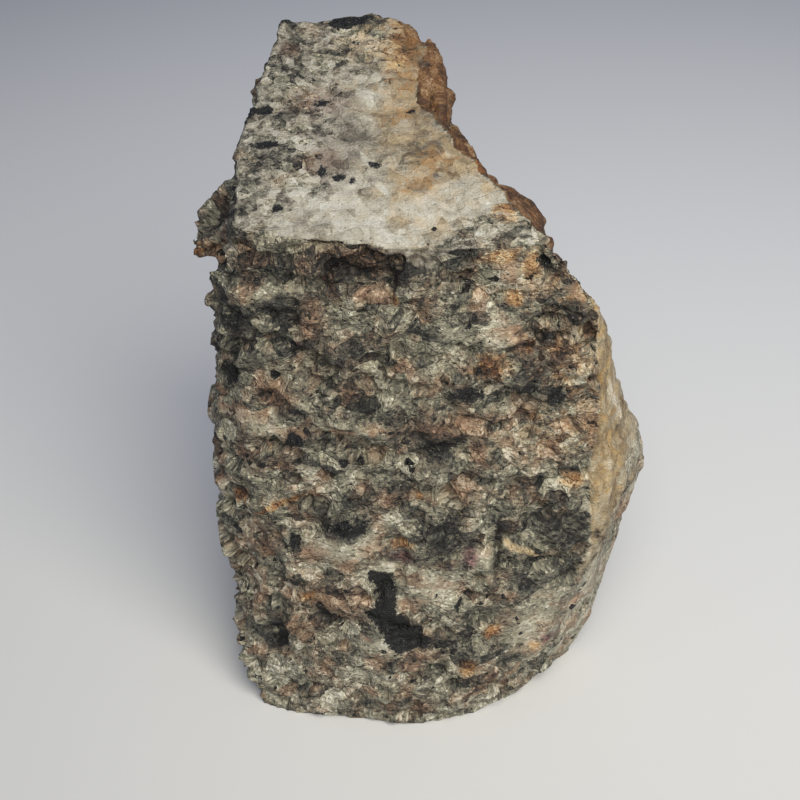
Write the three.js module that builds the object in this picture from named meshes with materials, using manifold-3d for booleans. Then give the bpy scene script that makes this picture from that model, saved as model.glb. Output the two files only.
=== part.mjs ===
// A rough hand specimen of syenite, a coarse grey rock of feldspar, dark amphibole and
// brown sodalite. It stands on one broken end. Its front is a steep fracture face with
// a ledge on top, behind which a pale bruised face slopes up to the crest. A hollow lies
// under the ledge and a low ridge crosses the left half of the front. The right side is
// an old joint, smoother and stained by iron, and lumps of the rock stand proud along
// it and at the left end of the ledge.
// Millimetres, +Z up, front towards -Y, origin at the middle of the foot.
import * as THREE from 'three';
import { ConvexGeometry } from 'three/addons/geometries/ConvexGeometry.js';
import { ImprovedNoise } from 'three/addons/math/ImprovedNoise.js';
import { mergeVertices } from 'three/addons/utils/BufferGeometryUtils.js';
import Module from 'manifold-3d';

const wasm = await Module();
wasm.setup();

// Driving dimensions
const ledgeHeight = 95.7;      // height of the ledge at the front
const ledgeFront = -12;        // its place in front of the middle
const paleSlope = 0.35;        // rise of the pale face for each millimetre back
const flakeCount = 44;         // flakes knocked off the sides of the stone
const flakeLengths = [10, 26]; // shortest and longest flake
const flakeWidths = [0.35, 0.7]; // narrowest and widest, as a share of the length
const flakeDepths = [0.5, 1.6];
const flakeHeights = [8, 88];  // lowest and highest middle of a flake
const flakeSides = 5;
const flakeTurn = 0.7;         // how far a corner strays round the rim, as a share of a side
const flakeRim = [0.78, 1];    // how raggedly the rim of a flake runs in and out
const flakeFloorDip = 1.2;     // how far the floor of a flake tilts, as a share of its depth
const flakeWall = { height: 4, spread: 1.5 }; // walls lean out to this size at this height
const layering = { left: 0.08, right: -0.4, split: 6, stray: 0.5 }; // dip in radians, split in x
const stoneMiddle = [1, 4];    // upright line through the stone, in plan
const clearOfStone = 100;      // further from that line than any face
const jointSector = [-8, 62];  // degrees from +X round to +Y that the old joint faces
const jointDepth = 0.6;        // flakes on the joint are worn to this share of their depth
const longestEdge = 8;         // longest triangle side before the faces are roughened
const waves = [[31, 1.87], [13, 1.36]]; // length and height of each roughness
const waveShift = 37.4;        // sets the roughness of the three directions apart
const smoothShare = 0.4;       // how much of the roughness the pale face keeps
const paleDepth = 5;           // the roughness is full again this far under the pale face
const footFade = 6;            // height over which the foot's flatness gives way to roughness
const weld = 1e-3;             // corners closer than this are one corner
const faceSeed = 5;
const flakeSeed = 11;
const pitSeed = 3;

// Height of the pale sloping face at a place in plan.
const pale = (x, y, lift = 0) => [x, y, ledgeHeight + paleSlope * (y - ledgeFront) + lift];

// Corners of the lower block, where its fracture faces meet.
const foot = [
  [-27.2, -20, 0], [-12, -24.4, 0], [3, -27.6, 0], [14, -24.6, 0], [21.8, -19.8, 0], [33.2, -8, 0],
  [27, 12, 0], [8, 27, 0], [-20, 23, 0], [-28, 2, 0],
];
const flanks = [
  [-30.2, -17, 12], [-31.8, -14, 35], [-31, -13, 56], [-29.2, -10, 78], [-28, -11, 91],
  [37.2, -7, 8], [34.6, -15, 27], [34, -17, 45], [33.5, -16, 65], [34.2, -13, 75],
  [32, -14.4, 85], [28, -13.4, 89.4], [41, 0, 21], [44.4, 3, 37], [43, 3, 47], [40, 4, 57],
  [36, 14, 34], [34, 14, 52], [34, 8, 66], [29, 8, 76], [26, 22, 60], [18, 24, 76], [27, 22, 22],
  [-30, 14, 80], [-20, 36, 78], [2, 38, 78], [12, 30, 78],
];
const ledge = [pale(-25.2, -11.6), pale(-8.8, -12.6), pale(0, -14.8), pale(12, -15.2), pale(23.1, -14.7)];

// The broad faces swell a little. Each reaches out to a middle place, across and up,
// and falls back from there.
const swells = {
  front: { reach: 29.4, across: 2, up: 50, acrossBend: 0.0068, upBend: 0.0008 },
  back: { reach: 39, across: -6, up: 70, acrossBend: 0.018, upBend: 0.0022 },
  left: { reach: 33.8, across: 4, up: 44, acrossBend: 0.004, upBend: 0.005 },
};
const frontLean = 0.13;        // the front leans back by this much for each millimetre up
const swell = ({ reach, across, up, acrossBend, upBend }, place, height) => (
  reach - acrossBend * (place - across) ** 2 - upBend * (height - up) ** 2
);
const frontPlace = (x, z) => [x, frontLean * z - swell(swells.front, x, z), z];
const backPlace = (x, z) => [x, swell(swells.back, x, z), z];
const leftPlace = (y, z) => [-swell(swells.left, y, z), y, z];
const faceLevels = [15, 33, 52, 71];
const faces = [
  { place: frontPlace, steps: [-21, -10, 2, 13, 24], levels: [...faceLevels, 86] },
  { place: backPlace, steps: [-22, -9, 4, 16], levels: faceLevels },
  { place: leftPlace, steps: [-4, 7, 18], levels: faceLevels },
];
const strayed = 3.4;           // how far such a place strays from an even grid

// Corners of the crown, which carries the pale face up to the crest. Its right side is
// hollow, so it is made as a front and a rear block.
const crownFront = [
  ...ledge, pale(-26.3, -1.1), pale(-27, 7), pale(-25.2, 14.5), pale(3, 15.5), pale(6.5, 9),
  pale(10, 4.3), pale(14.3, -2.5), pale(19.5, -10.4),
  [-28.6, -5, 90], [-29, 12, 88], [-29.4, -6, 76], [-30, 14, 76],
  [5.6, 16, 92], [13, 7, 88], [22, -6, 84], [24, -10, 78], [8, 16, 74],
];
const crownRear = [
  pale(-25.4, 10), pale(-24.2, 12.6), pale(-21.6, 24), pale(-21.2, 32.3), pale(-18, 34), pale(-4, 34.8),
  pale(2, 33), pale(3.6, 28), pale(3.1, 22), pale(3, 14), [6, 31, 102], [8, 24, 94], [7, 14, 94],
  [-29, 12, 88], [-27, 27, 88], [0, 36.6, 104], [-20, 35.8, 104], [-21, 36.4, 88], [1, 38, 88],
  [11, 28, 86], [-30, 12, 75], [-28, 27, 75], [-21.6, 36.6, 75], [1, 38.2, 75], [13, 29, 75],
  [6, 13, 78],
];

// Lumps that stand proud of the two blocks.
const lumps = {
  leftKnob: [
    [-26.6, 6, 98], [-28.8, 8, 93.6], [-31.8, 8, 90.4], [-34, 4, 90], [-35.4, 2, 88.8],
    [-36.2, 2, 85.6], [-34.8, -1, 84.6], [-32, -1, 82.6], [-30, 2, 80], [-27, -4, 84], [-27, -6, 91],
  ],
  leftBump: [
    [-30.6, -9, 86], [-32, -8, 83.4], [-32.2, -7, 81], [-31.4, -8, 78], [-29, -11.4, 80],
    [-27, -10, 86], [-28, -2, 82],
  ],
  darkLump: [[-31, -15, 32], [-32.2, -13, 30], [-31.4, -13, 26.5], [-28, -15, 27], [-28, -12, 31]],
  shoulder: [
    [14, 8, 93.8], [15.4, 10, 92.4], [18.8, 9, 92.3], [21.2, 8, 91.2], [23.6, 5, 89.2],
    [25.9, 3, 86.2], [26, 1, 84.6], [21, -6, 93], [24, -8, 89], [24, 2, 78], [15, 14, 84], [14, 4, 94],
  ],
  jointWall: [
    [4.6, 29, 100.4], [6.4, 17, 96.4], [11.4, 9, 92.6], [17, 3, 90], [24, -5, 86], [25.6, 3, 79.4],
    [20.6, 15, 78], [12.4, 25, 86], [8.4, 27, 93.4], [2, 24, 82], [10, 0, 84], [20, 14, 74], [27, -2, 74],
  ],
  jointUpper: [
    [5.4, 30, 109.8], [6.8, 28, 108.4], [8, 24, 105], [7.8, 20, 102], [6.4, 18, 104], [3, 24, 107.5],
    [7, 20, 96], [3, 30, 98], [6, 12, 98],
  ],
  jointMiddle: [
    [8.2, 12, 101], [8.8, 14, 99.6], [11, 11, 97], [12.2, 8, 95.6], [11, 4, 99.6],
    [4, 14, 100], [6, 2, 96], [14, 2, 92], [6, 16, 90], [13, 8, 88],
  ],
  crestLeft: [
    pale(-21.8, 30, 0.4), pale(-20, 32.5, 0.9), pale(-18, 32, 0.6), pale(-18, 28, -0.6),
    [-21, 35, 106], [-17, 35, 106], [-21, 30, 104],
  ],
  crestRight: [
    pale(-12, 33, 0.4), pale(-9.6, 34.4, 0.9), pale(-5, 34.4, 1), pale(0, 33, 0.8), pale(3.2, 30, 0.6),
    pale(-8, 29, -0.6), pale(0, 26, -0.6), [-10, 37, 106], [3, 35, 104],
  ],
  frontRidge: [
    [-29.4, -14.2, 64], [-20, -18.6, 64.8], [-10, -21.3, 64.4], [-3, -22, 63.4],
    [-29.2, -12, 68], [-6, -18.6, 68], [-30, -12.6, 60.4], [-4, -20, 59.6], [-14, -12, 64],
  ],
};

// Pits in the front, deeper than the flakes: middle, direction of the length, and sizes.
const pits = [
  { middle: [-5, -14.4, 90.4], along: [1, 0, 0], length: 15, width: 8.5, depth: 2 },
  { middle: [-0.8, -24.6, 27], along: [0.45, 0, -1], length: 18, width: 7, depth: 0.9 },
];
const frontOutward = [0, -1, 0.1];

// Repeatable chance, so that the stone comes out the same every time.
function dice(seed) {
  let state = seed;
  return () => {
    state = (state + 0x6d2b79f5) | 0;
    let word = Math.imul(state ^ (state >>> 15), 1 | state);
    word = (word + Math.imul(word ^ (word >>> 7), 61 | word)) ^ word;
    return ((word ^ (word >>> 14)) >>> 0) / 2 ** 32;
  };
}

const between = ([low, high], share) => low + (high - low) * share;

function smoothStep(low, high, value) {
  const share = Math.min(1, Math.max(0, (value - low) / (high - low)));
  return share * share * (3 - 2 * share);
}

// A convex lump of stone with these corners.
function chunk(corners) {
  return solidFrom(new ConvexGeometry(corners.map((corner) => new THREE.Vector3(...corner))));
}

function solidFrom(geometry) {
  const bare = new THREE.BufferGeometry();
  bare.setAttribute('position', geometry.getAttribute('position'));
  const merged = mergeVertices(bare, weld);
  return new wasm.Manifold(new wasm.Mesh({
    numProp: 3,
    vertProperties: merged.getAttribute('position').array,
    triVerts: new Uint32Array(merged.index.array),
  }));
}

function geometryFrom(points, triangles) {
  const geometry = new THREE.BufferGeometry();
  geometry.setAttribute('position', new THREE.BufferAttribute(new Float32Array(points), 3));
  geometry.setIndex(new THREE.BufferAttribute(new Uint32Array(triangles), 1));
  return geometry;
}

function facePlaces() {
  const chance = dice(faceSeed);
  const stray = () => strayed * (chance() - 0.5);
  return faces.flatMap(({ place, steps, levels }) => (
    levels.flatMap((level) => steps.map((step) => place(step + stray(), level + stray())))
  ));
}

// The flat-bottomed gap that a flake leaves: its floor dips from one end to the other,
// and its walls lean outwards.
function flakeGap(place, outward, along, length, width, depth, dip, chance) {
  const sideways = new THREE.Vector3().crossVectors(outward, along);
  const corners = [];
  for (let i = 0; i < flakeSides; i += 1) {
    const angle = (2 * Math.PI * (i + flakeTurn * chance())) / flakeSides;
    const reach = between(flakeRim, chance());
    const u = Math.cos(angle) * reach * length / 2;
    const v = Math.sin(angle) * reach * width / 2;
    const floor = -depth + dip * Math.cos(angle) * reach;
    for (const [level, spread] of [[floor, 1], [flakeWall.height, flakeWall.spread]]) {
      corners.push(place.clone()
        .addScaledVector(along, u * spread)
        .addScaledVector(sideways, v * spread)
        .addScaledVector(outward, level)
        .toArray());
    }
  }
  return chunk(corners);
}

// Flakes are spread round the stone by the golden angle, and lie nearly level, as the
// rock's layering does, dipping to the right on the right half of the front.
function knockFlakes(stone) {
  const chance = dice(flakeSeed);
  const mesh = new THREE.Mesh(geometryFrom(stone.getMesh().vertProperties, stone.getMesh().triVerts));
  mesh.material.side = THREE.DoubleSide;
  const caster = new THREE.Raycaster();
  const goldenAngle = Math.PI * (3 - Math.sqrt(5));
  let worn = stone;
  for (let i = 0; i < flakeCount; i += 1) {
    const angle = i * goldenAngle;
    const height = between(flakeHeights, (i + chance()) / flakeCount);
    const outwards = new THREE.Vector3(Math.cos(angle), Math.sin(angle), 0);
    const start = new THREE.Vector3(...stoneMiddle, height).addScaledVector(outwards, clearOfStone);
    caster.set(start, outwards.clone().negate());
    const hit = caster.intersectObject(mesh)[0];
    const outward = hit.face.normal.clone();
    const dipAngle = hit.point.x > layering.split ? layering.right : layering.left;
    const level = new THREE.Vector3(0, 0, 1).cross(outward).normalize();
    const along = level.applyAxisAngle(outward, dipAngle + layering.stray * (chance() - 0.5));
    const degrees = THREE.MathUtils.radToDeg(Math.atan2(outwards.y, outwards.x));
    const onJoint = degrees > jointSector[0] && degrees < jointSector[1];
    const length = between(flakeLengths, chance());
    const width = length * between(flakeWidths, chance());
    const depth = between(flakeDepths, chance()) * (onJoint ? jointDepth : 1);
    const dip = depth * (chance() - 0.5) * flakeFloorDip;
    worn = worn.subtract(flakeGap(hit.point, outward, along, length, width, depth, dip, chance));
  }
  return worn;
}

// The pits are cut like flakes, with level floors.
function sinkPits(stone) {
  const chance = dice(pitSeed);
  const outward = new THREE.Vector3(...frontOutward).normalize();
  let worn = stone;
  for (const { middle, along, length, width, depth } of pits) {
    const place = new THREE.Vector3(...middle);
    const level = new THREE.Vector3(...along).projectOnPlane(outward).normalize();
    worn = worn.subtract(flakeGap(place, outward, level, length, width, depth, 0, chance));
  }
  return worn;
}

// Halves the longest side of every triangle, on both the triangles that share it, until
// no side is longer than the limit.
function splitLongSides(mesh, limit) {
  const points = [...mesh.vertProperties];
  let triangles = [...mesh.triVerts];
  const reach = (a, b) => Math.hypot(
    points[3 * a] - points[3 * b],
    points[3 * a + 1] - points[3 * b + 1],
    points[3 * a + 2] - points[3 * b + 2],
  );
  const nameOf = (a, b) => `${Math.min(a, b)}/${Math.max(a, b)}`;
  for (;;) {
    const middles = new Map();
    for (let i = 0; i < triangles.length; i += 3) {
      const [a, b, c] = triangles.slice(i, i + 3);
      const [p, q] = [[a, b], [b, c], [c, a]].sort((one, two) => reach(...two) - reach(...one))[0];
      if (reach(p, q) > limit && !middles.has(nameOf(p, q))) {
        middles.set(nameOf(p, q), points.length / 3);
        for (let k = 0; k < 3; k += 1) points.push((points[3 * p + k] + points[3 * q + k]) / 2);
      }
    }
    if (middles.size === 0) return { points, triangles };
    const middleOf = (a, b) => middles.get(nameOf(a, b)) ?? -1;
    const next = [];
    for (let i = 0; i < triangles.length; i += 3) {
      next.push(...cutTriangle(triangles.slice(i, i + 3), middleOf, reach));
    }
    triangles = next;
  }
}

// One triangle cut at the middles of those of its sides that are split.
function cutTriangle([a, b, c], middleOf, reach) {
  const [ab, bc, ca] = [middleOf(a, b), middleOf(b, c), middleOf(c, a)];
  const count = [ab, bc, ca].filter((middle) => middle >= 0).length;
  if (count === 0) return [a, b, c];
  if (count === 3) return [a, ab, ca, ab, b, bc, ca, bc, c, ab, bc, ca];
  // Turned so that the side from p to q is split, and with two splits the one from r to p isn't.
  let [p, q, r, pq, qr] = [a, b, c, ab, bc];
  if (count === 1 ? bc >= 0 : ab < 0) [p, q, r, pq, qr] = [b, c, a, bc, ca];
  else if (count === 1 ? ca >= 0 : bc < 0) [p, q, r, pq, qr] = [c, a, b, ca, ab];
  if (count === 1) return [p, pq, r, pq, q, r];
  return reach(p, qr) < reach(pq, r)
    ? [pq, q, qr, p, pq, qr, p, qr, r]
    : [pq, q, qr, pq, qr, r, p, pq, r];
}

// Moves every point a little by smooth noise, less on the pale face and never up or
// down at the foot.
function roughen(points) {
  const noise = new ImprovedNoise();
  const shift = [0, 0, 0];
  for (let i = 0; i < points.length; i += 3) {
    const [x, y, z] = points.slice(i, i + 3);
    const underPale = ledgeHeight + paleSlope * (y - ledgeFront) - z;
    const share = between([smoothShare, 1], smoothStep(0, paleDepth, underPale));
    for (let axis = 0; axis < 3; axis += 1) {
      const place = waveShift * (axis + 1);
      shift[axis] = 0;
      for (const [length, height] of waves) {
        shift[axis] += height * share * noise.noise(x / length + place, y / length, z / length + place);
      }
    }
    points[i] += shift[0];
    points[i + 1] += shift[1];
    points[i + 2] += shift[2] * smoothStep(0, footFade, z);
  }
}

let stone = chunk([...foot, ...flanks, ...ledge, ...facePlaces()]);
for (const corners of [crownFront, crownRear, ...Object.values(lumps)]) stone = stone.add(chunk(corners));
stone = sinkPits(knockFlakes(stone));
const { points, triangles } = splitLongSides(stone.getMesh(), longestEdge);
roughen(points);

const syenite = new THREE.MeshStandardMaterial({ color: 0x6c6557, roughness: 0.75, metalness: 0 });
const specimen = new THREE.Mesh(geometryFrom(points, triangles), syenite);
specimen.name = 'syenite_specimen';

const part = new THREE.Group();
part.add(specimen);
export default part;
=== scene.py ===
import math

import bmesh
import bpy
import numpy as np
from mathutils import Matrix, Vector


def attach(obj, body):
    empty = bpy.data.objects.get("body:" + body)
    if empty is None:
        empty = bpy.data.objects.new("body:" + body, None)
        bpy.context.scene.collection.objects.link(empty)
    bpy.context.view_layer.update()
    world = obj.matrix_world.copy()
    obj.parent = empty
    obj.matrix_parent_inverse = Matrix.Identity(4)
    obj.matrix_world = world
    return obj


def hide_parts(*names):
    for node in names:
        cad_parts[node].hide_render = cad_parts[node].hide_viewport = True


# A rough hand specimen of sodalite syenite on its flat foot, in metres.
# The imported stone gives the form. Here it gets its grains, its minerals and its weathered skins.

mm = 0.001

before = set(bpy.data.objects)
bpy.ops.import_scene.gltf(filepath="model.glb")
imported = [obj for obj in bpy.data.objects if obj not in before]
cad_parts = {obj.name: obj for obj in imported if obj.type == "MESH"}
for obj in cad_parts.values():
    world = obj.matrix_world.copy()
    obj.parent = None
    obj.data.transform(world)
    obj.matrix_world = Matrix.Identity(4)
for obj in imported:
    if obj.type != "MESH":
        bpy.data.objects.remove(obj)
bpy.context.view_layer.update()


class Wire:
    # a node's output on its way to an input, so that a sum on it reads as a sum
    def __init__(self, tree, socket=None):
        self.tree = tree
        self.socket = socket

    def node(self, kind, settings=None, sockets=None, out=0):
        made = self.tree.nodes.new(kind)
        for name, value in (settings or {}).items():
            if name == "stops":
                ramp = made.color_ramp
                while len(ramp.elements) < len(value):
                    ramp.elements.new(0.5)
                for element, (position, shade) in zip(ramp.elements, value):
                    element.position = position
                    element.color = shade
            else:
                setattr(made, name, value)
        for key, value in (sockets or {}).items():
            if isinstance(value, Wire):
                self.tree.links.new(value.socket, made.inputs[key])
            else:
                made.inputs[key].default_value = value
        return Wire(self.tree, made.outputs[out] if len(made.outputs) else None)

    def other(self, out):
        # another output of the same node
        return Wire(self.tree, self.socket.node.outputs[out])

    def maths(self, operation, *values):
        if any(isinstance(v, Wire) and v.socket.type in ("VECTOR", "RGBA") for v in values):
            values = [v if isinstance(v, (Wire, tuple)) else (v, v, v) for v in values]
            kind = "ShaderNodeVectorMath"
        else:
            kind = "ShaderNodeMath"
        return self.node(kind, {"operation": operation}, dict(enumerate(values)))

    def __add__(self, other):
        return self.maths("ADD", self, other)

    def __radd__(self, other):
        return self.maths("ADD", other, self)

    def __sub__(self, other):
        return self.maths("SUBTRACT", self, other)

    def __rsub__(self, other):
        return self.maths("SUBTRACT", other, self)

    def __mul__(self, other):
        return self.maths("MULTIPLY", self, other)

    def __rmul__(self, other):
        return self.maths("MULTIPLY", other, self)

    def most(self, other):
        return self.maths("MAXIMUM", self, other)

    def clamped(self, low, high):
        return self.node("ShaderNodeClamp", {}, {0: self, 1: low, 2: high})

    def dot(self, other):
        return self.node(
            "ShaderNodeVectorMath", {"operation": "DOT_PRODUCT"}, {0: self, 1: other}, "Value")

    def times(self, share):
        # a vector scaled by a number
        return self.node(
            "ShaderNodeVectorMath", {"operation": "SCALE"}, {0: self, "Scale": share})

    def direction(self):
        return self.node("ShaderNodeVectorMath", {"operation": "NORMALIZE"}, {0: self})

    def step(self, low, high):
        # 0 below low, 1 above high, smooth between
        return self.node(
            "ShaderNodeMapRange", {"interpolation_type": "SMOOTHSTEP"},
            {"Value": self, "From Min": low, "From Max": high})

    def parts(self):
        split = self.node("ShaderNodeSeparateXYZ", {}, {0: self})
        return split, split.other(1), split.other(2)

    def over(self, mask, under):
        # this colour where the mask is 1, the one under it where it is 0
        return self.node("ShaderNodeMix", {"data_type": "RGBA"}, {0: mask, 6: under, 7: self}, 2)

    def ramp(self, stops):
        stops = [(position, colour(*shade)) for position, shade in stops]
        return self.node("ShaderNodeValToRGB", {"stops": stops}, {0: self})

    def noise(self, size, detail, roughness, shift=0.0):
        # cloudy values around 0, from features of this size; the shift keeps two noises apart
        made = self.node(
            "ShaderNodeTexNoise", {},
            {"Vector": self + shift, "Scale": 1 / size, "Detail": detail, "Roughness": roughness})
        return made - 0.5

    def warped(self, size, amount, shift=0.0):
        # the same place pushed about, so that straight borders wander
        made = self.node(
            "ShaderNodeTexNoise", {},
            {"Vector": self + shift, "Scale": 1 / size, "Detail": 2.0, "Roughness": 0.6}, "Color")
        return self + (made - 0.5) * (amount * 2)

    def cells(self, size):
        # crystals: a random colour and a centre for each
        return self.node("ShaderNodeTexVoronoi", {}, {"Vector": self, "Scale": 1 / size}, "Color")

    def within(self, size, margin):
        # 0 along the joints between the same crystals, 1 from this share of a crystal inwards
        gap = self.node(
            "ShaderNodeTexVoronoi", {"feature": "DISTANCE_TO_EDGE"},
            {"Vector": self, "Scale": 1 / size}, "Distance")
        return gap.step(0.0, margin)


def linear(value):
    # one channel of a screen colour as an amount of light
    value /= 255
    return value / 12.92 if value <= 0.04045 else ((value + 0.055) / 1.055) ** 2.4


def colour(*values):
    # a colour as a screen shows it, 0 to 255
    return (*(linear(v) for v in values), 1.0)


def smoothStep(low, high, value):
    share = np.clip((value - low) / (high - low), 0, 1)
    return share * share * (3 - 2 * share)


stone = {
    "squares": 0.62 * mm,                # spacing of the fine mesh
    "weld": 0.001 * mm,                  # packed corners closer than this are one
    "slab": 7.5 * mm,                    # what broke away in one piece
    "grain": 3.4 * mm,                   # a feldspar, sodalite or nepheline grain
    "crumb": 1.3 * mm,                   # the pieces that a grain breaks into
    "fleck": 0.5 * mm,                   # single cleavage glints
    "slabBend": (9 * mm, 1.5 * mm),      # borders wander this often, and this far
    "grainBend": (4 * mm, 0.7 * mm),
    "crumbBend": (2 * mm, 0.2 * mm),
    "slabRelief": 0.36,                  # slope of a slab's broken face
    "grainRelief": 0.46,
    "crumbRelief": 0.24,
    "slabEdge": 0.8 * mm,                # width of the slope that a face ends in
    "grainEdge": 0.5 * mm,
    "crumbEdge": 0.3 * mm,
    "deepest": 2.2 * mm,                 # the relief goes no further in or out than this
    "highest": 0.9 * mm,
    "worn": 0.3 * mm,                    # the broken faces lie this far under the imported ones
    "layering": 1.3,                     # grains are this much flatter than they are wide
    "seed": 4.0,
    # small forms: how far each stands out, or goes in
    "ridgeOut": 0.4 * mm,
    "wallOut": 0.7 * mm,
    "hollowOut": 0.5 * mm,
    "crystalIn": 0.35 * mm,
    "crackIn": 0.5 * mm,
    "waistIn": 0.9 * mm,
    # bump: slopes of flecks and crumbs with the widths of their edges, then the depth of the rest
    "fleckBump": (0.65, 0.1 * mm),
    "crumbBump": (0.25, 0.2 * mm),
    "raggedBump": 0.18 * mm,
    "speckBump": 0.12 * mm,
    "crackBump": 0.2 * mm,
    "softened": 0.65,                    # share of the bump that smooth skins lose
    "roughness": 0.74,
    "glintShine": 0.34,                  # glints and black crystals are this much less rough
    "blackShine": 0.12,
    # how large the clouds of each noise are
    "speck": 0.4 * mm,
    "streak": 0.45 * mm,
    "ragged": 1.8 * mm,
    "cloud": 6 * mm,
    "drift": 11 * mm,
    "brownCloud": 5 * mm,
    "rustCloud": 9 * mm,
    "peachCloud": 4 * mm,
    "oliveCloud": 6 * mm,
    "fieryCloud": 5 * mm,
    "bruiseSpot": 1.8 * mm,
    "skinStripe": 1.1 * mm,
    # widths of the marked lines and soft rims of the marked outlines, in millimetres
    "crackWidth": 0.9,
    "stainWidth": 1.0,
    "splinterWidth": 1.0,
    "paintedGlareWidth": 2.8,
    "crystalRim": 1.2,
    "lipRim": 0.9,
    "topDark": 0.54,                     # dark patches are weaker on the top face
    # what each mineral looks like from its darkest to its lightest tone
    "feldspar": (
        (0.0, (22, 22, 21)), (0.25, (63, 62, 56)), (0.5, (109, 106, 92)),
        (0.75, (157, 152, 131)), (1.0, (210, 206, 188))),
    "sodalite": (
        (0.0, (23, 17, 13)), (0.25, (68, 49, 38)), (0.5, (116, 84, 63)),
        (0.75, (148, 113, 87)), (1.0, (190, 162, 134))),
    "ironStain": (
        (0.0, (40, 23, 11)), (0.25, (94, 58, 30)), (0.5, (146, 100, 56)),
        (0.75, (186, 146, 96)), (1.0, (216, 196, 158))),
    "bruise": (
        (0.1, (86, 81, 72)), (0.4, (146, 140, 127)),
        (0.6, (169, 165, 153)), (1.0, (194, 193, 187))),
    "ochre": (
        (0.1, (82, 71, 56)), (0.4, (140, 120, 89)), (0.6, (169, 156, 131)), (0.9, (204, 198, 181))),
    "russet": (
        (0.1, (37, 27, 20)), (0.4, (76, 50, 30)), (0.6, (115, 82, 50)), (0.9, (166, 146, 118))),
    "ivory": ((0.2, (110, 88, 60)), (0.6, (188, 166, 128)), (1.0, (228, 216, 190))),
    "hornblende": ((0.0, (5, 5, 5)), (0.6, (16, 16, 16)), (1.0, (52, 52, 50))),
    # what stains, the painted shadow in cracks and the painted reflection on the joint make of the
    # red, green and blue under them
    "purpleTint": (0.66, 0.4, 0.5),
    # painted shadow in the cracks and slab edges
    "crackShadeTint": (0.3, 0.28, 0.27),
    "peachTint": (0.98, 0.8, 0.58),
    "brownTint": (0.56, 0.44, 0.42),
    "rustTint": (0.76, 0.5, 0.26),
    "oliveTint": (0.86, 1.08, 1.3),
    "fieryTint": (1.25, 0.95, 0.6),
    "amberTint": (0.96, 0.77, 0.5),
    # the painted reflection on the joint
    "paintedGlareTint": (1.25, 1.4, 1.75),
}


# The same crystals tilt the surface and colour it, so that a facet is one grain.
def layers(place):
    # the place as slabs, as grains and as crumbs see it
    layered = place * (1.0, 1.0, stone["layering"]) + stone["seed"]
    slabs = layered.warped(*stone["slabBend"], 3.0)
    grains = layered.warped(*stone["grainBend"])
    crumbs = layered.warped(*stone["crumbBend"], 7.0)
    return slabs, grains, crumbs


def facet(place, size, edge):
    # height of a broken face: flat, tilted its own way in every crystal, with a slope round it
    cell = place.cells(size)
    tilted = (cell - 0.5).dot(place - cell.other("Position"))
    return tilted * place.within(size, edge / size) * 2.0


def reliefTree():
    tree = bpy.data.node_groups.new("stoneRelief", "GeometryNodeTree")
    inputs = {
        "Geometry": "Geometry", "Slab relief": "Float", "Grain relief": "Float",
        "Crumb relief": "Float", "Material": "Material"}
    for name, kind in inputs.items():
        tree.interface.new_socket(name, in_out="INPUT", socket_type="NodeSocket" + kind)
    tree.interface.new_socket("Geometry", in_out="OUTPUT", socket_type="NodeSocketGeometry")
    start = Wire(tree)
    given = start.node("NodeGroupInput")
    place = start.node("GeometryNodeInputPosition")
    normal = start.node("GeometryNodeInputNormal")
    calm, sculpt = (
        start.node(
            "GeometryNodeInputNamedAttribute", {"data_type": "FLOAT"}, {"Name": name}, "Attribute")
        for name in ("calm", "sculpt"))
    slabs, grains, crumbs = layers(place)
    height = (facet(slabs, stone["slab"], stone["slabEdge"]) * given.other("Slab relief")
              + facet(grains, stone["grain"], stone["grainEdge"]) * given.other("Grain relief")
              + facet(crumbs, stone["crumb"], stone["crumbEdge"]) * given.other("Crumb relief"))
    broken = (height - stone["worn"]).clamped(-stone["deepest"], stone["highest"])
    lift = (1 - calm) * broken + sculpt
    moved = start.node(
        "GeometryNodeSetPosition", {}, {"Geometry": given, "Offset": normal.times(lift)})
    real = start.node("GeometryNodeRealizeInstances", {}, {0: moved})
    painted = start.node(
        "GeometryNodeSetMaterial", {}, {"Geometry": real, "Material": given.other("Material")})
    start.node("NodeGroupOutput", {}, {0: painted})
    return tree


def settled(draft, name):
    # the draft with its modifiers applied, as a plain mesh in an object of its own
    bpy.context.view_layer.update()
    seen = draft.evaluated_get(bpy.context.evaluated_depsgraph_get())
    data = bpy.data.meshes.new_from_object(seen)
    bpy.data.objects.remove(draft)
    made = bpy.data.objects.new(name, data)
    bpy.context.scene.collection.objects.link(made)
    return made


def fineMesh(name, source, squares):
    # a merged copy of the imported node, remeshed in small squares
    shape = bmesh.new()
    shape.from_mesh(source.data)
    bmesh.ops.remove_doubles(shape, verts=shape.verts, dist=stone["weld"])
    data = bpy.data.meshes.new(name)
    shape.to_mesh(data)
    shape.free()
    draft = bpy.data.objects.new(name + "Draft", data)
    bpy.context.scene.collection.objects.link(draft)
    remesh = draft.modifiers.new("squares", "REMESH")
    remesh.mode = "VOXEL"
    remesh.voxel_size = squares
    return settled(draft, name)


def addAttribute(mesh, name, values, kind="FLOAT"):
    made = mesh.attributes.new(name, kind, "POINT")
    key = "vector" if kind == "FLOAT_VECTOR" else "value"
    made.data.foreach_set(key, np.ravel(values).astype(np.float32))


def vertexArrays(mesh):
    # places in millimetres, and normals
    places = np.empty(len(mesh.vertices) * 3, np.float32)
    mesh.vertices.foreach_get("co", places)
    normals = np.empty(len(mesh.vertices) * 3, np.float32)
    mesh.vertices.foreach_get("normal", normals)
    return places.reshape(-1, 3) / mm, normals.reshape(-1, 3)


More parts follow.
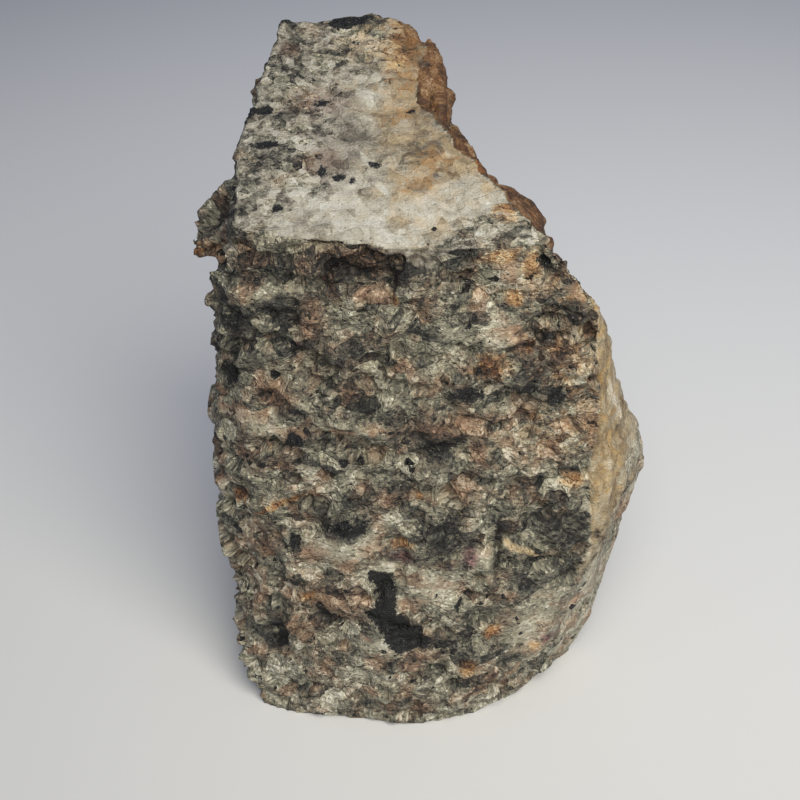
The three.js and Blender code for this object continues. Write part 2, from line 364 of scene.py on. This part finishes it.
# What stands out on the broken front, in millimetres: left, right, low, high.
frontPatches = {
    "black": [
        (-9.8, -8.1, 94.6, 96.4), (-31, -27, 67.4, 71.4), (-21.4, -19.8, 70, 72.2),
        (-19.2, -15.6, 58.6, 61.6), (-0.8, 0.3, 62.2, 63.2), (8.3, 13.2, 67.9, 70.7),
        (21.6, 24.6, 90.4, 93.4), (-24.6, -22.4, 53.8, 56), (-10.2, -8.4, 56.4, 58),
        (-7.4, -5.7, 56.8, 57.8), (-19, -17, 38, 42.6), (-30.4, -28, 35.6, 39),
        (11, 12.7, 30, 32.1), (9.4, 10.8, 27.3, 30), (13.6, 14.5, 28.4, 29.4),
        (-20, -17.8, 30.4, 32.4), (-12.4, -5.6, 43, 46.4), (23.6, 27.4, 66.2, 69.6),
        (19.6, 22.4, 68.6, 70.4)],
    "dark": [
        (-22.8, -16.4, 78.5, 84.4), (17.5, 26.5, 67.4, 73.2), (19.6, 31.2, 80.4, 85.2),
        (27.6, 31.6, 53.6, 57.4), (20.8, 23, 59.8, 62.8), (-14.8, -5.3, 43, 49.6),
        # the strip at x 15.7 to 18.1 is a painted shadow in a groove, where a step cuts down the
        # front
        (15.7, 18.1, 33.3, 45.7), (21.5, 32.6, 36.5, 45.4), (18.3, 32.7, 30.5, 36.8),
        (3.2, 11.4, 40.2, 47.8), (4, 11.1, 57.2, 61.3), (8.7, 13.8, 92.6, 95.4),
        (-28.6, -23, 46, 50.4), (-15.8, -12.5, 21.6, 26), (-26.5, -19.8, 14.5, 20.5),
        (5.7, 18.1, 14.5, 21.8), (9.7, 12.9, 8.8, 12.2), (17.8, 22.5, 12.4, 14.8),
        (-1.9, -0.3, 87.2, 88.7), (-8.8, -5.4, 64.3, 68.1), (22.8, 25, 50.2, 53.9),
        (-13.4, 1.6, 88.6, 96), (-30, -24, 78, 83)],
    "brown": [
        (23.4, 28.6, 72.2, 79.5), (-16.6, -12.2, 77.6, 85), (-23, -17.2, 65.5, 70.2),
        (-10, -6.5, 67.6, 70.7), (-16.3, -13.7, 89.4, 93.4), (-5.3, -2.4, 88, 89.6),
        (1.3, 3.1, 85.2, 87.5), (1, 11.5, 61.3, 65), (24.8, 29.7, 60.8, 63.8),
        (-16.7, -12.7, 48, 51), (-19, -6.8, 24.5, 31.8), (-18.2, -13.4, 36, 39.8),
        (17.8, 20.5, 28.6, 31), (22.4, 26.8, 13.6, 18), (30.4, 33, 22.4, 25.4),
        (31, 33.4, 10.8, 14.2), (-13, 1, 88.6, 95.6), (15, 18.2, 8.8, 12.2),
        (-29, -24.2, 33.8, 37.6), (-28.4, -25.6, 53.5, 57), (1.1, 7.3, 16, 19),
        (7.2, 11.6, 49.3, 52), (-7.4, -4.7, 50.8, 53.5), (-4.3, 0.2, 48.5, 52)],
    "rust": [
        (12.8, 18.4, 91.8, 93.9), (19, 22, 88.6, 93.6), (16.4, 19.4, 84.3, 86.8),
        (12.3, 17.5, 71.9, 75.4), (-1.4, -0.3, 85.3, 87.2), (20.2, 21.8, 75.8, 78),
        (10.8, 13.7, 11.8, 16.4), (-17.3, -14.7, 27, 30), (15.2, 18, 20, 22),
        (23.4, 25.6, 14.8, 17), (27.4, 31.6, 50.6, 53.4), (-1.6, 2.2, 40.8, 42.2),
        (-29, -26, 45.2, 47.8), (2.6, 4.1, 50.2, 52), (-36, -32.8, 83.6, 88)],
    "purple": [
        (-1.4, 2.9, 37.6, 40.4), (10.8, 13.4, 36.9, 40.4), (25.4, 27.8, 16.2, 18.8),
        (-17.2, -15.4, 76, 77.8)],
    "light": [
        # pale grains; the two strips along the ridge at heights 60 to 64 are painted light on the
        # ridge's lit top
        (15.9, 19.7, 88, 91.8), (25, 30.8, 85, 88.4), (-32, -16.5, 60, 64),
        (-19, 1.6, 62.4, 64.4), (-23.7, -19.5, 83.6, 86.6), (6.1, 10.7, 78.4, 81.4),
        (-16.6, -5.9, 37, 42.6), (-7.9, -3.4, 40, 44.4), (-5.9, 0, 33.4, 37.7),
        (0, 3.5, 31.9, 37), (-0.9, 3, 27.1, 31.3), (-6.9, 0.4, 17.2, 22.4),
        (17.8, 29.4, 14.5, 30.5), (0, 10.5, 29.2, 37.1), (11.8, 16.5, 35.9, 39.6),
        (0, 4.8, 12.8, 16.4), (-26.5, -24.2, 26, 30), (-20.4, -18.7, 39.5, 42.4),
        (14.7, 16.9, 33.4, 35.9), (12.7, 19.7, 76.3, 82.3)],
}

# What stands out on the bruised top face, seen from above: left, right, front, rear.
topPatches = {
    "black": [
        (-24.1, -21, 12.9, 15.2), (-25.6, -24, 12, 14.6), (-24.5, -19.5, 5, 7.1),
        (-5.2, -3.1, 0.7, 1.9), (-13.5, -11.5, -0.8, 1.4), (-10.8, -8.6, -2, -0.6),
        (-8.4, -7.2, -2.6, -1.3), (1.1, 2.6, 12.7, 13.8), (-20, -18.4, -8.2, -6.4),
        (4.7, 5.7, -11.6, -10.4), (-13.5, -5, 31.8, 34.4), (-14.3, -11.8, 14.4, 16.4)],
    "dark": [
        (-17.4, -11, 24.4, 26.8), (-11, -3, 25.6, 27), (-20.6, -17.4, 25, 28),
        (-21.6, -16.6, 30.4, 33.4), (-17.2, -15, 28, 29.6), (-20.6, -19.2, 22, 23.6),
        (-18.6, -15, 20.2, 23), (-18, -13.4, 14.2, 17), (-10.6, -8, 8.4, 12.3),
        (-14.4, -11.6, 7, 9.8), (-16.4, -11.4, 0, 4.4), (-3.5, 0.2, 17.8, 20.4),
        (-11.6, -9, -4.8, -3), (-14.4, -12.6, -9.4, -8), (-19.3, -18.1, -5.8, -2.9),
        (5.6, 7, -9.9, -8.7), (7.4, 12.4, -2.4, 3.4), (-25.6, -18.4, 0.2, 3.4),
        (-23.8, -21.9, -2.8, -1.2), (-16, -4, 31.4, 35)],
    "brown": [(-18, -9.4, 13, 18), (-15.4, -8.6, -0.6, 5), (-20.6, -17.4, 25, 28)],
    "rust": [
        (2.6, 9.2, 0, 5.8), (0.4, 5.6, -4.4, -0.4), (-3, 3, 10.4, 15), (-2.6, 4.6, 16, 34),
        (14, 19, -10, -5)],
}

blackCrystal = [
    (-5.8, 35.2), (-4.4, 35.5), (-1.4, 34.9), (-0.9, 32.4), (-0.5, 29), (-1, 27.2), (1, 26.4),
    (3, 23.8), (5.6, 21.2), (6.5, 19.3), (1.7, 18.8), (0.4, 18.2), (-2, 20), (-3, 22.6),
    (-6.8, 26.8), (-4.2, 28.6), (-4, 31.6)]

# Where the bruised white runs down over the ledge.
whiteLip = [(-8, 97.5), (9, 97.5), (7.5, 93.6), (5, 91.4), (2, 91.6), (-1, 93.4), (-4, 95)]

# Right edge of the top face from front to rear: y, then x.
crownEdge = (
    (-14, -10.4, -2.5, 4.3, 9, 15.5, 22, 28, 33), (22, 19.5, 14.3, 10, 6.5, 3.2, 3.2, 3.6, 2.4))

# Where the skin of the joint ends on the front: height, then x.
jointEdge = ((36, 42, 50, 55, 61, 68), (33.2, 32.6, 32.3, 31.8, 32.6, 33))

# Lines that cross the front: cracks and edges of broken slabs, cut in a little and darkened with
# painted shadow, an iron vein, a pale splinter.
frontLines = {
    "crack": [
        [(18.6, 79), (20, 80), (21.6, 79.8), (22.8, 77.8)], [(11.8, 70.2), (15.6, 71.4)],
        [(-18.8, 67), (-17.4, 65.8), (-15.8, 64.8)],
        [(-13.2, 65.6), (-12.2, 64), (-10.4, 63), (-8, 63.6)],
        [(17, 45.5), (17.3, 40), (16.7, 34.5)], [(-5.6, 68), (-5.2, 66.4)],
        [(-16.4, 73), (-14.6, 71.8), (-10.4, 70.2)], [(28.2, 63.4), (30, 61)],
        [(17.4, 76.2), (19.4, 77.4), (21.6, 76.6), (23, 74.8)], [(9.6, 77.6), (12.4, 76)],
        [(18, 26.2), (20.4, 28), (22.6, 29.2)], [(-3.6, 76.4), (-2.2, 72)]],
    "stain": [[(-24.6, 44), (-20.4, 46.8), (-16.8, 49)]],
    "splinter": [[(18.4, 40.8), (21, 39.6), (23.8, 37.4)]],
}


def patchField(across, along, patches):
    # 1 in the middle of a patch, 0.5 at its rim, 0 at twice its size
    field = np.zeros(len(across))
    for left, right, low, high in patches:
        offAcross = (across - (left + right) / 2) / (right - left)
        offAlong = (along - (low + high) / 2) / (high - low)
        field = np.maximum(field, 1 - np.hypot(offAcross, offAlong))
    return field


def reachTo(across, along, corners):
    # how far away the nearest point of this line is
    nearest = np.full(len(across), np.inf)
    for (x0, z0), (x1, z1) in zip(corners, corners[1:]):
        runX, runZ = x1 - x0, z1 - z0
        share = ((across - x0) * runX + (along - z0) * runZ) / (runX ** 2 + runZ ** 2)
        share = np.clip(share, 0, 1)
        apart = np.hypot(across - x0 - share * runX, along - z0 - share * runZ)
        nearest = np.minimum(nearest, apart)
    return nearest


def outlineField(across, along, corners, reach):
    # 0.5 on the outline, 1 and 0 at this reach inside and outside it
    closed = corners + corners[:1]
    inside = np.zeros(len(across), bool)
    for (x0, z0), (x1, z1) in zip(closed, closed[1:]):
        if z0 != z1:
            crosses = (z0 > along) != (z1 > along)
            inside ^= crosses & (across < x0 + (along - z0) * (x1 - x0) / (z1 - z0))
    nearest = reachTo(across, along, closed)
    return np.clip(0.5 + np.where(inside, nearest, -nearest) / (2 * reach), 0, 1)


def lineField(across, along, lines, width):
    # 1 on the lines, 0.5 at their rims
    nearest = np.minimum.reduce([reachTo(across, along, line) for line in lines])
    return np.clip(1 - nearest / width, 0, 1)


# The bruised top face rises to the rear: how high it is at this y, and how steep.
topFace = {"y": -12, "z": 95.7, "slope": 0.35}

# A painted reflection on the joint, a pale streak where light glares off it: y, then height.
paintedGlareLine = [(-12.4, 66.4), (-9.4, 61.6), (-6.6, 57.4)]

# Other places, seen from the front: left, right, low, high.
hollowPlace = (-12, 2, 87.5, 95.5)
ridgePlace = (-34, 0, 62.4, 65.4)
jointTip = (39, 45, 43.4, 48.4)
paleFlank = (-34, -18, 44, 60)


def markedFields(x, y, z, top, front):
    # the patches and lines that are placed one by one
    fields = {}
    for kind, patches in frontPatches.items():
        seen = front * patchField(x, z, patches)
        if kind in topPatches:
            share = stone["topDark"] if kind == "dark" else 1
            seen = np.maximum(seen, share * top * patchField(x, y, topPatches[kind]))
        fields[kind] = seen
    crystal = front * outlineField(x, z, blackCrystal, stone["crystalRim"])
    fields["black"] = np.maximum(fields["black"], crystal)
    # painted shadow along the cracks and slab edges, which the sculpt also cuts in a little
    crackShadeLines = lineField(x, z, frontLines["crack"], stone["crackWidth"])
    splinter = lineField(x, z, frontLines["splinter"], stone["splinterWidth"])
    fields["crack"] = front * crackShadeLines
    fields["splinter"] = front * splinter
    # iron in one vein, and spread over the upper right
    vein = lineField(x, z, frontLines["stain"], stone["stainWidth"])
    warm = 0.36 * smoothStep(10, 26, x) * smoothStep(46, 60, z)
    fields["rust"] = np.maximum.reduce([fields["rust"], front * vein, front * warm])
    return fields, crystal


def topFields(fields, x, y, z, top, front):
    # crushed white feldspar, thick on the right and in front, broken up on the left
    corner = smoothStep(-1, 3, 0.66 * (x - 6.2) - (y + 11.8))
    thick = np.maximum(
        smoothStep(-17, -7, x), smoothStep(-2, -8, y) * smoothStep(-22, -13, x))
    thick *= smoothStep(25, 17, y - 0.3 * x)
    bruise = top * (0.42 + 0.5 * thick) * (1 - 0.7 * corner)
    lip = 0.95 * front * outlineField(x, z, whiteLip, stone["lipRim"])
    fields["bruise"] = np.maximum(bruise, lip)
    # darker high on the front, and towards the rear and the left of the top face
    high = smoothStep(46, 76, z)
    high *= 1.2 * smoothStep(22, 4, x) + 0.4 * smoothStep(16, 26, x) - 0.3
    low = 0.4 * smoothStep(24, 8, z) + 0.6 * patchField(x, z, [paleFlank])
    behind = smoothStep(-9, 4, y) * smoothStep(31, 25, y - 0.3 * x)
    behind *= 0.5 + 0.4 * smoothStep(-15, -9, x)
    leftSide = 0.25 * smoothStep(-10, -18, x)
    fields["dusky"] = front * (high - low) + top * (behind + leftSide)
    # peach and cream on the right
    warm = smoothStep(-12, 2, x) * (0.5 + 0.5 * smoothStep(-9, 0, y))
    fields["peach"] = top * np.maximum(warm, smoothStep(-18, -10, x) * smoothStep(22, 26, y))


def jointFields(fields, x, y, z, normals, front, wall):
    # ochre low down, rusty brown at the crown
    joint = smoothStep(0.3, 0.6, normals[:, 0]) * smoothStep(-2, 6, x)
    joint *= np.maximum(smoothStep(27, 31, x), smoothStep(-8, -2, y))
    # its skin laps over on to the front beside the edge, and is bare near the foot and at the tip
    lap = smoothStep(-0.4, 0.6, x - np.interp(z, *jointEdge))
    lap *= smoothStep(34, 40, z) * smoothStep(69, 64, z)
    joint = np.maximum(joint, front * lap)
    tip = smoothStep(0.2, 0.7, patchField(x, z, [jointTip]))
    bare = joint * np.maximum(smoothStep(56, 30, z - 0.4 * y), 0.8 * tip)
    fields["light"] = np.maximum(fields["light"], 0.7 * bare)
    fields["tan"] = joint - bare
    crown = smoothStep(58, 92, z + 0.8 * y)
    amber = joint * (1 - crown) * smoothStep(-2, -13, y) * smoothStep(34, 48, z)
    fields["rust"] = np.maximum(fields["rust"], 0.5 * amber)
    # painted reflection: a pale streak of glare along the joint
    streak = lineField(y, z, [paintedGlareLine], stone["paintedGlareWidth"])
    fields["glaze"] = smoothStep(0.1, 0.3, joint) * streak
    stained = smoothStep(-5, 2, x) * smoothStep(18, 26, y) * smoothStep(98, 102, z)
    fields["weathered"] = np.maximum.reduce([joint * crown, wall, 0.6 * stained])
    return joint


def stoneFields(places, normals):
    x, y, z = places.T
    underTop = topFace["z"] + topFace["slope"] * (y - topFace["y"]) - z
    pastCrown = x - np.interp(y, *crownEdge)
    top = smoothStep(0.5, 0.75, normals[:, 2]) * smoothStep(3, 1.6, np.abs(underTop))
    top *= smoothStep(1.2, 0, pastCrown)
    front = smoothStep(0.1, -0.2, normals[:, 1]) * (1 - top) * smoothStep(14, 4, y)
    wall = smoothStep(0, 1.2, pastCrown) * smoothStep(-9, -4, y) * smoothStep(84, 90, z)

    fields, crystal = markedFields(x, y, z, top, front)
    topFields(fields, x, y, z, top, front)
    joint = jointFields(fields, x, y, z, normals, front, wall)

    # where the broken relief is weaker, down to none at the foot
    foot = smoothStep(1.6, 0.2, z)
    sheen = smoothStep(0.15, 0.6, fields["light"])
    skin = joint * (0.62 - 0.2 * smoothStep(-4, 8, y))
    fields["calm"] = np.maximum.reduce([0.68 * top, skin, 0.6 * wall, 0.8 * sheen, foot])
    # small forms
    hollow = smoothStep(0.3, 0.9, patchField(x, z, [hollowPlace])) * front
    ridge = smoothStep(0.45, 0.9, patchField(x, z, [ridgePlace])) * front
    waist = smoothStep(-26, -30, x) * smoothStep(55, 62, z) * smoothStep(82, 76, z)
    crownWall = wall * smoothStep(21, 16, x)
    fields["sculpt"] = (1 - foot) * (
        stone["ridgeOut"] * ridge + stone["wallOut"] * crownWall + stone["hollowOut"] * hollow
        - stone["crystalIn"] * smoothStep(0.4, 0.8, crystal)
        - stone["crackIn"] * fields["crack"] - stone["waistIn"] * waist)
    return fields


def stoneMaterial():
    material = bpy.data.materials.new("syenite")
    material.use_nodes = True
    shader = material.node_tree.nodes["Principled BSDF"]
    sheet = Wire(material.node_tree)
    place = sheet.node("ShaderNodeAttribute", {"attribute_name": "restPlace"}, {}, "Vector")
    names = (
        "black", "dark", "brown", "rust", "purple", "light", "dusky", "crack", "splinter", "glaze",
        "bruise", "peach", "tan", "weathered")
    field = {
        name: sheet.node("ShaderNodeAttribute", {"attribute_name": name}, {}, "Fac")
        for name in names}
    grains, crumbs = layers(place)[1:]
    large = grains.cells(stone["grain"])
    grainPick, grainHue, grainRust = large.parts()
    crumbPick, crumbHue, crumbRare = crumbs.cells(stone["crumb"]).parts()
    fleckPick, fleckGlint, fleckShade = crumbs.cells(stone["fleck"]).parts()

    # cleavage runs its own way in every grain
    lean = (large - 0.5).direction()
    drawn = place - lean.times(lean.dot(place) * 0.6)
    streak = drawn.noise(stone["streak"], 3.0, 0.6)
    speck = place.noise(stone["speck"], 2.0, 0.7)
    cloud = place.noise(stone["cloud"], 3.0, 0.6, shift=3.0)
    ragged = place.noise(stone["ragged"], 5.0, 0.75, shift=5.0)

    def frayed(name, soft, fray=1.1):
        # a marked area with a ragged rim, this soft
        rim = field[name] + ragged * fray + (crumbHue - 0.5) * 0.22
        return rim.step(0.5 - soft, 0.5 + soft)

    # the broken rock: grey-green feldspar and nepheline in light and dark grains, with painted
    # light on the ridge's lit top and a painted shadow in one groove
    paleAndLit = frayed("light", 0.35)
    # dark grains, and in one strip a painted shadow in a groove
    dark = frayed("dark", 0.35)
    grainy = (
        (grainPick - 0.5) * 0.5 + (crumbPick - 0.5) * 0.27 + (fleckPick - 0.5) * 0.3
        + streak * 0.24 + speck * 0.62 + ragged * 0.5)
    # painted highlight: a few flecks are lighter in the colour as if they glinted, and they are
    # also less rough
    paintedGlint = fleckGlint.step(0.86, 0.93)
    # painted shade: a few flecks are darker, as if they were tiny shaded pits
    pitShade = fleckShade.step(0.88, 0.94)
    seam = (1 - crumbs.within(stone["crumb"], 0.1)) * ragged.step(0.0, 0.12)
    # painted shade: joints between some grains are darkened like shaded cracks, and the bump below
    # sinks them a little
    crack = (1 - grains.within(stone["grain"], 0.05)) * cloud.step(-0.02, 0.1)
    tone = (
        0.54 + grainy * (1 - paleAndLit * 0.6) + cloud * 0.6 + paleAndLit * 0.22 - dark * 0.3
        + paintedGlint * 0.2 - pitShade * 0.2 + seam * 0.12 - crack * 0.2 - field["dusky"] * 0.13)
    body = tone.ramp(stone["feldspar"])
    # brown-pink sodalite and feldspar patches with soft rims
    unbruised = 1 - field["bruise"]
    brown = place.noise(stone["brownCloud"], 2.0, 0.6, shift=11.0) * 2.1
    brown = (brown + (grainHue - 0.5) * 0.45).step(-0.2, 0.55) * (1 - dark) * unbruised
    brown = brown.most(frayed("brown", 0.45, 0.8)) * 0.78
    body = tone.ramp(stone["sodalite"]).over(brown, body)
    # iron stain, strongest at the marked veins
    rust = place.noise(stone["rustCloud"], 3.0, 0.65, shift=17.0) * 2.0
    rust = (rust + (grainRust - 0.5) * 0.4).step(0.42, 0.7) * 0.6 * unbruised
    rust = rust.most(frayed("rust", 0.3)) * 0.8
    body = tone.ramp(stone["ironStain"]).over(rust, body)
    body = (body * stone["purpleTint"]).over(frayed("purple", 0.35, 0.7), body)
    # painted shadow along the marked cracks and slab edges
    body = (body * stone["crackShadeTint"]).over(frayed("crack", 0.2, 0.5), body)

    # bruised feldspar on the top face
    chalk = (
        0.57 + streak * 0.14 + speck * 0.6 + cloud * 0.8 + ragged * 0.7
        + (crumbPick - 0.5) * 0.22 + (grainPick - 0.5) * 0.3
        - frayed("dark", 0.4) * 0.2 - field["dusky"] * 0.2)
    bruised = chalk.ramp(stone["bruise"])
    peach = place.noise(stone["peachCloud"], 3.0, 0.6, shift=23.0) * 2.2
    peach = (peach + (grainHue - 0.5) * 0.5 + field["peach"]).step(0.2, 1.2) * 0.9
    bruised = (bruised * stone["peachTint"]).over(peach, bruised)
    bruised = (bruised * stone["brownTint"]).over(frayed("brown", 0.4, 1.4) * 0.85, bruised)
    rustStain = field["rust"] + ragged * 2.6 + speck + (crumbHue - 0.5) * 0.4
    bruised = (bruised * stone["rustTint"]).over(rustStain.step(0.4, 0.95) * 0.8, bruised)
    spotted = (place * (0.65, 1.0, 1.0)).noise(stone["bruiseSpot"], 5.0, 0.75, shift=29.0)
    bruise = field["bruise"] + spotted * 2.2 + (crumbPick - 0.5) * 0.3 - dark * 0.3
    bruise = bruise.step(0.22, 0.7)
    body = bruised.over(bruise, body)

    # weathered skins, worn through in places: ochre low on the joint, rusty brown at the crown
    drift = place.noise(stone["drift"], 4.0, 0.6, shift=41.0)
    striped = (place * (1.0, 1.0, 0.25)).noise(stone["skinStripe"], 3.0, 0.65, shift=37.0)
    ochre = 0.52 + striped * 0.6 + drift * 1.1 + ragged * 0.9 + speck * 0.5
    ochre = (ochre + (grainPick - 0.5) * 0.2).ramp(stone["ochre"])
    amber = field["rust"] + ragged * 2.4 + drift * 1.2 + (grainHue - 0.5) * 0.3
    ochre = (ochre * stone["amberTint"]).over(amber.step(0.3, 0.8), ochre)
    russet = 0.5 + cloud * 0.8 + ragged * 1.4 + speck * 0.6 + (grainPick - 0.5) * 0.2
    russet = russet.ramp(stone["russet"])
    olive = place.noise(stone["oliveCloud"], 3.0, 0.6, shift=47.0).step(0.0, 0.16) * 0.75
    fiery = place.noise(stone["fieryCloud"], 3.0, 0.6, shift=53.0).step(0.02, 0.18) * 0.8
    dulled = (russet * stone["oliveTint"]).over(olive, russet)
    russet = (russet * stone["fieryTint"]).over(fiery, dulled)
    rusted = (field["weathered"] + ragged * 0.8 + drift * 1.3).step(0.36, 0.6)
    skinned = field["tan"].most(field["weathered"]) + ragged * 1.6 + cloud * 1.2 + drift * 0.8
    skinned = skinned.step(0.3, 0.7)
    body = russet.over(rusted, ochre).over(skinned, body)
    ivory = (0.6 + speck + streak).ramp(stone["ivory"])
    body = ivory.over(frayed("splinter", 0.2, 0.4), body)
    # painted reflection: the streak of glare is a bluish-white ivory
    body = (ivory * stone["paintedGlareTint"]).over(frayed("glaze", 0.25, 0.6), body)

    # black hornblende: scattered crumbs, and the large crystals that are placed
    scattered = (crumbRare + streak * 0.2 + ragged * 0.1).step(0.968, 0.984)
    scattered = scattered * (1 - bruise.most(field["tan"]) * 0.9)
    black = (field["black"] + ragged * 1.5 + speck * 0.5).step(0.44, 0.58).most(scattered)
    hornblende = (fleckPick * 0.5 + streak + 0.15).ramp(stone["hornblende"])
    body = hornblende.over(black, body)
    material.node_tree.links.new(body.socket, shader.inputs["Base Color"])

    rough = stone["roughness"] - paintedGlint * stone["glintShine"] - black * stone["blackShine"]
    material.node_tree.links.new(rough.socket, shader.inputs["Roughness"])
    fleckSlope, fleckEdge = stone["fleckBump"]
    crumbSlope, crumbEdge = stone["crumbBump"]
    height = (
        facet(crumbs, stone["fleck"], fleckEdge) * fleckSlope
        + facet(crumbs, stone["crumb"], crumbEdge) * crumbSlope
        + ragged * stone["raggedBump"] + speck * stone["speckBump"] - crack * stone["crackBump"])
    height = height * (1 - bruise.most(paleAndLit).most(skinned) * stone["softened"])
    bump = sheet.node("ShaderNodeBump", {}, {"Strength": 1.0, "Distance": 1.0, "Height": height})
    material.node_tree.links.new(bump.socket, shader.inputs["Normal"])
    return material


def makeStone():
    piece = fineMesh("syeniteStone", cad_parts["syenite_specimen"], stone["squares"])
    places, normals = vertexArrays(piece.data)
    addAttribute(piece.data, "restPlace", places * mm, "FLOAT_VECTOR")
    for name, values in stoneFields(places, normals).items():
        addAttribute(piece.data, name, values)
    relief = piece.modifiers.new("relief", "NODES")
    relief.node_group = reliefTree()
    values = {
        "Slab relief": stone["slabRelief"], "Grain relief": stone["grainRelief"],
        "Crumb relief": stone["crumbRelief"], "Material": stoneMaterial()}
    for socket in relief.node_group.interface.items_tree:
        if socket.in_out == "INPUT" and socket.name in values:
            relief[socket.identifier] = values[socket.name]
    piece.name = "syeniteStoneDraft"
    piece = settled(piece, "syeniteStone")
    piece.data.polygons.foreach_set("use_smooth", [True] * len(piece.data.polygons))
    print("stone:", len(piece.data.polygons), "faces")
    return piece


studio = {
    "target": (0, 0, 55 * mm),
    "distance": 265 * mm,
    "lookDown": math.radians(36),
    "fieldOfView": math.radians(30),
    "nearest": 10 * mm,                  # nothing closer to the camera than this is seen
    "floorColour": (231, 231, 231),
    "floorReach": 3.0,
    # painted light: the sheet's colour is whitest at one spot and greys out from it, in place of
    # the lamp's falloff
    "paintedLightCentre": (0.09, 0.176, 0),     # the sheet is whitest here and greys out from it
    "paintedLightReach": (0.6, 0.485, 1),        # how far off it would be black, each way
    "paintedShadeLimit": 0.38,                    # but it gets no darker than this share
    "floorRoughness": 0.85,
    "keyPlace": (0.10, -0.30, 0.42),
    "keySize": 0.45,
    "keyPower": 3.28,
    "keyColour": (255, 251, 237),
    "skyColour": (208, 221, 255),
    "skyStrength": 0.30,
}


def floorMaterial():
    material = bpy.data.materials.new("paleFloor")
    material.use_nodes = True
    shader = material.node_tree.nodes["Principled BSDF"]
    place = Wire(material.node_tree).node("ShaderNodeTexCoord", {}, {}, "Object")
    # painted light: the sheet's colour greys out from a bright spot, standing in for the falloff of
    # the light
    off = (place - studio["paintedLightCentre"]) * tuple(1 / reach for reach in studio["paintedLightReach"])
    paintedLight = (1 - off.dot(off)).clamped(studio["paintedShadeLimit"], 1.0)
    sheet = paintedLight.ramp(((0.0, (0, 0, 0)), (1.0, studio["floorColour"])))
    material.node_tree.links.new(sheet.socket, shader.inputs["Base Color"])
    shader.inputs["Roughness"].default_value = studio["floorRoughness"]
    return material


def makeFloor():
    reach = studio["floorReach"]
    data = bpy.data.meshes.new("floor")
    corners = [(-reach, -reach, 0), (reach, -reach, 0), (reach, reach, 0), (-reach, reach, 0)]
    data.from_pydata(corners, [], [(0, 1, 2, 3)])
    data.materials.append(floorMaterial())
    floor = bpy.data.objects.new("floor", data)
    bpy.context.scene.collection.objects.link(floor)


def areaLight(name, place, size, power, shade):
    lamp = bpy.data.lights.new(name, "AREA")
    lamp.shape = "DISK"
    lamp.size = size
    lamp.energy = power
    lamp.color = colour(*shade)[:3]
    made = bpy.data.objects.new(name, lamp)
    made.location = place
    aim = Vector(studio["target"]) - Vector(place)
    made.rotation_euler = aim.to_track_quat("-Z", "Y").to_euler()
    bpy.context.scene.collection.objects.link(made)


def makeStudio():
    makeFloor()
    areaLight(
        "keyLight", studio["keyPlace"], studio["keySize"], studio["keyPower"],
        studio["keyColour"])
    world = bpy.data.worlds.new("sky")
    world.use_nodes = True
    sky = world.node_tree.nodes["Background"]
    sky.inputs["Color"].default_value = colour(*studio["skyColour"])
    sky.inputs["Strength"].default_value = studio["skyStrength"]
    bpy.context.scene.world = world
    bpy.context.scene.view_settings.view_transform = "Standard"
    camera = bpy.data.cameras.new("camera")
    camera.angle = studio["fieldOfView"]
    camera.clip_start = studio["nearest"]
    made = bpy.data.objects.new("camera", camera)
    down = studio["lookDown"]
    back = Vector((0, -math.cos(down), math.sin(down)))
    made.location = Vector(studio["target"]) + studio["distance"] * back
    made.rotation_euler = (math.pi / 2 - down, 0, 0)
    bpy.context.scene.collection.objects.link(made)
    bpy.context.scene.camera = made
    print("studio ready")


makeStudio()
piece = makeStone()
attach(piece, "root")
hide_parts("syenite_specimen")

bpy.context.view_layer.update()
